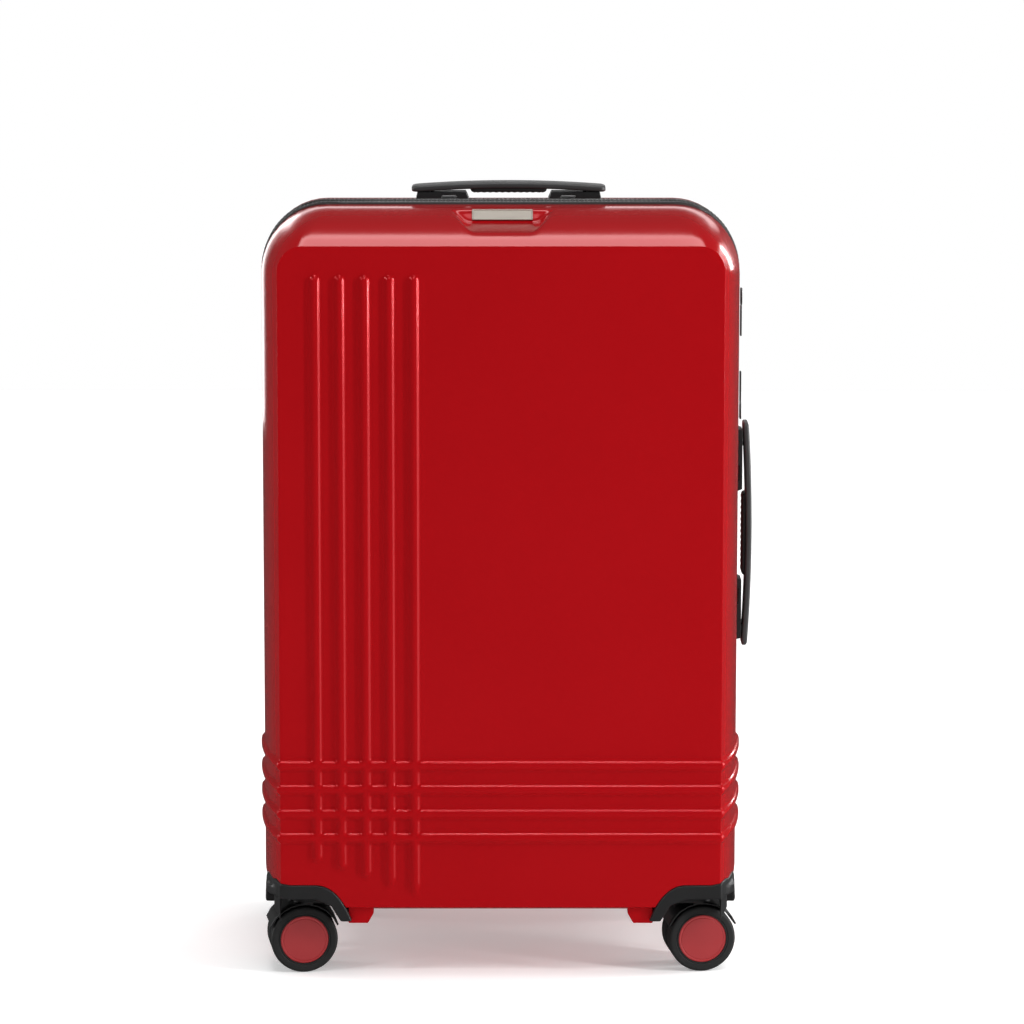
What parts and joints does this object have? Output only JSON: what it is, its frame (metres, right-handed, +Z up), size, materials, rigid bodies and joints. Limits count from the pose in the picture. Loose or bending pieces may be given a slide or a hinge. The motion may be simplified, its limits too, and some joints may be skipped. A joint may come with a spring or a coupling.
{
  "type": "hard shell suitcase on wheels",
  "caption": "Upright hard shell suitcase with ribbed half shells that open like a book, swivel casters, a telescopic trolley handle and carry handles.",
  "frame": {"origin": "on the floor, under the middle of the case's overall box", "axes": "+Z up, -Y towards the front panel, +X towards the side carry handle and the lock"},
  "size_m": [0.4463, 0.288, 0.6958],
  "materials": {
    "shell": "high gloss moulded polycarbonate, strong red",
    "zip_fabric": "woven tape, matt black",
    "lining": "dark grey woven lining",
    "black_plastic": "fine grained black moulding",
    "handle_grip": "satin dark grey moulding",
    "plate_metal": "warm brushed metal with a raised border",
    "tube_metal": "anodised, satin",
    "lock_metal": "dark satin metal",
    "axle_steel": "turned steel",
    "wheel_rubber": "matt black tread",
    "hub_cap": "satin red moulding"
  },
  "bodies": {
    "back_half": {"back_shell": "shell", "back_zip_tape": "zip_fabric", "back_lining": "lining", "top_handle_bracket_left": "black_plastic", "top_handle_bracket_right": "black_plastic", "side_handle_bracket_upper": "black_plastic", "side_handle_bracket_lower": "black_plastic", "trolley_outer_tube_left": "tube_metal", "trolley_outer_tube_right": "tube_metal", "trolley_bezel": "black_plastic", "trolley_base": "black_plastic", "lock_body": "black_plastic", "zip_slider_upper": "lock_metal", "zip_slider_lower": "lock_metal", "caster_housing_back_left": "black_plastic", "caster_housing_back_right": "black_plastic"},
    "front_half": {"front_shell": "shell", "front_zip_tape": "zip_fabric", "front_lining": "lining", "name_plate": "plate_metal", "caster_housing_front_left": "black_plastic", "caster_housing_front_right": "black_plastic"},
    "top_handle": {"top_handle_grip": "handle_grip"},
    "side_handle": {"side_handle_grip": "handle_grip"},
    "trolley_middle": {"trolley_mid_tube_left": "tube_metal", "trolley_mid_tube_right": "tube_metal"},
    "trolley_upper": {"trolley_inner_tube_left": "tube_metal", "trolley_inner_tube_right": "tube_metal", "trolley_grip": "black_plastic"},
    "trolley_push_button": {"trolley_button": "handle_grip"},
    "lock_dial_1": {"lock_dial_1": "lock_metal"},
    "lock_dial_2": {"lock_dial_2": "lock_metal"},
    "lock_dial_3": {"lock_dial_3": "lock_metal"},
    "lock_release": {"lock_release": "lock_metal"},
    "zip_puller_upper": {"zip_puller_upper": "lock_metal"},
    "zip_puller_lower": {"zip_puller_lower": "lock_metal"},
    "caster_front_left": {"caster_yoke_front_left": "black_plastic", "caster_axle_front_left": "axle_steel"},
    "wheel_front_left_a": {"caster_wheel_front_left_a": "wheel_rubber", "hub_cap_front_left_a": "hub_cap"},
    "wheel_front_left_b": {"caster_wheel_front_left_b": "wheel_rubber", "hub_cap_front_left_b": "hub_cap"},
    "caster_front_right": {"caster_yoke_front_right": "black_plastic", "caster_axle_front_right": "axle_steel"},
    "wheel_front_right_a": {"caster_wheel_front_right_a": "wheel_rubber", "hub_cap_front_right_a": "hub_cap"},
    "wheel_front_right_b": {"caster_wheel_front_right_b": "wheel_rubber", "hub_cap_front_right_b": "hub_cap"},
    "caster_back_left": {"caster_yoke_back_left": "black_plastic", "caster_axle_back_left": "axle_steel"},
    "wheel_back_left_a": {"caster_wheel_back_left_a": "wheel_rubber", "hub_cap_back_left_a": "hub_cap"},
    "wheel_back_left_b": {"caster_wheel_back_left_b": "wheel_rubber", "hub_cap_back_left_b": "hub_cap"},
    "caster_back_right": {"caster_yoke_back_right": "black_plastic", "caster_axle_back_right": "axle_steel"},
    "wheel_back_right_a": {"caster_wheel_back_right_a": "wheel_rubber", "hub_cap_back_right_a": "hub_cap"},
    "wheel_back_right_b": {"caster_wheel_back_right_b": "wheel_rubber", "hub_cap_back_right_b": "hub_cap"}
  },
  "joints": [
    {"name": "case_open", "type": "hinge", "parent": "back_half", "child": "front_half", "pos_m": [-0.2229, 0, 0.3689], "axis": [0, 0, -1], "range_deg": [0, 176]},
    {"name": "top_handle_lift", "type": "slide", "parent": "back_half", "child": "top_handle", "axis": [0, 0, 1], "range_m": [0, 0.006], "stiffness_N_per_m": 400, "springref_m": -0.004},
    {"name": "side_handle_lift", "type": "slide", "parent": "back_half", "child": "side_handle", "axis": [1, 0, 0], "range_m": [0, 0.006], "stiffness_N_per_m": 400, "springref_m": -0.004},
    {"name": "trolley_lower_stage", "type": "slide", "parent": "back_half", "child": "trolley_middle", "axis": [0, 0, 1], "range_m": [0, 0.195]},
    {"name": "trolley_upper_stage", "type": "slide", "parent": "trolley_middle", "child": "trolley_upper", "axis": [0, 0, 1], "range_m": [0, 0.195]},
    {"name": "trolley_button_press", "type": "slide", "parent": "trolley_upper", "child": "trolley_push_button", "axis": [0, 0, -1], "range_m": [0, 0.003], "stiffness_N_per_m": 600, "springref_m": -0.002},
    {"name": "lock_release_slide", "type": "slide", "parent": "back_half", "child": "lock_release", "axis": [0, 0, -1], "range_m": [0, 0.004], "stiffness_N_per_m": 300, "springref_m": -0.002},
    {"name": "lock_dial_1_turn", "type": "hinge", "parent": "back_half", "child": "lock_dial_1", "pos_m": [0.2045, 0.032, 0.5206], "axis": [0, 0, 1], "continuous": true},
    {"name": "lock_dial_2_turn", "type": "hinge", "parent": "back_half", "child": "lock_dial_2", "pos_m": [0.2045, 0.032, 0.529], "axis": [0, 0, 1], "continuous": true},
    {"name": "lock_dial_3_turn", "type": "hinge", "parent": "back_half", "child": "lock_dial_3", "pos_m": [0.2045, 0.032, 0.5374], "axis": [0, 0, 1], "continuous": true},
    {"name": "zip_puller_upper_swing", "type": "hinge", "parent": "back_half", "child": "zip_puller_upper", "pos_m": [0.2099, 0, 0.5859], "axis": [0, -1, 0], "range_deg": [0, 110]},
    {"name": "zip_puller_lower_swing", "type": "hinge", "parent": "back_half", "child": "zip_puller_lower", "pos_m": [0.2099, 0, 0.4993], "axis": [0, 1, 0], "range_deg": [0, 110]},
    {"name": "caster_front_left_swivel", "type": "hinge", "parent": "front_half", "child": "caster_front_left", "pos_m": [-0.173, -0.099, 0.0715], "axis": [0, 0, 1], "continuous": true},
    {"name": "wheel_front_left_a_spin", "type": "hinge", "parent": "caster_front_left", "child": "wheel_front_left_a", "pos_m": [-0.18488, -0.10067, 0.03], "axis": [0.1392, -0.9903, 0], "continuous": true},
    {"name": "wheel_front_left_b_spin", "type": "hinge", "parent": "caster_front_left", "child": "wheel_front_left_b", "pos_m": [-0.18488, -0.10067, 0.03], "axis": [0.1392, -0.9903, 0], "continuous": true},
    {"name": "caster_front_right_swivel", "type": "hinge", "parent": "front_half", "child": "caster_front_right", "pos_m": [0.159, -0.099, 0.0715], "axis": [0, 0, 1], "continuous": true},
    {"name": "wheel_front_right_a_spin", "type": "hinge", "parent": "caster_front_right", "child": "wheel_front_right_a", "pos_m": [0.17088, -0.09733, 0.03], "axis": [-0.1392, 0.9903, 0], "continuous": true},
    {"name": "wheel_front_right_b_spin", "type": "hinge", "parent": "caster_front_right", "child": "wheel_front_right_b", "pos_m": [0.17088, -0.09733, 0.03], "axis": [-0.1392, 0.9903, 0], "continuous": true},
    {"name": "caster_back_left_swivel", "type": "hinge", "parent": "back_half", "child": "caster_back_left", "pos_m": [-0.173, 0.099, 0.0715], "axis": [0, 0, 1], "continuous": true},
    {"name": "wheel_back_left_a_spin", "type": "hinge", "parent": "caster_back_left", "child": "wheel_back_left_a", "pos_m": [-0.18474, 0.1015, 0.03], "axis": [-0.2079, -0.9781, 0], "continuous": true},
    {"name": "wheel_back_left_b_spin", "type": "hinge", "parent": "caster_back_left", "child": "wheel_back_left_b", "pos_m": [-0.18474, 0.1015, 0.03], "axis": [-0.2079, -0.9781, 0], "continuous": true},
    {"name": "caster_back_right_swivel", "type": "hinge", "parent": "back_half", "child": "caster_back_right", "pos_m": [0.159, 0.099, 0.0715], "axis": [0, 0, 1], "continuous": true},
    {"name": "wheel_back_right_a_spin", "type": "hinge", "parent": "caster_back_right", "child": "wheel_back_right_a", "pos_m": [0.17074, 0.0965, 0.03], "axis": [0.2079, 0.9781, 0], "continuous": true},
    {"name": "wheel_back_right_b_spin", "type": "hinge", "parent": "caster_back_right", "child": "wheel_back_right_b", "pos_m": [0.17074, 0.0965, 0.03], "axis": [0.2079, 0.9781, 0], "continuous": true}
  ]
}
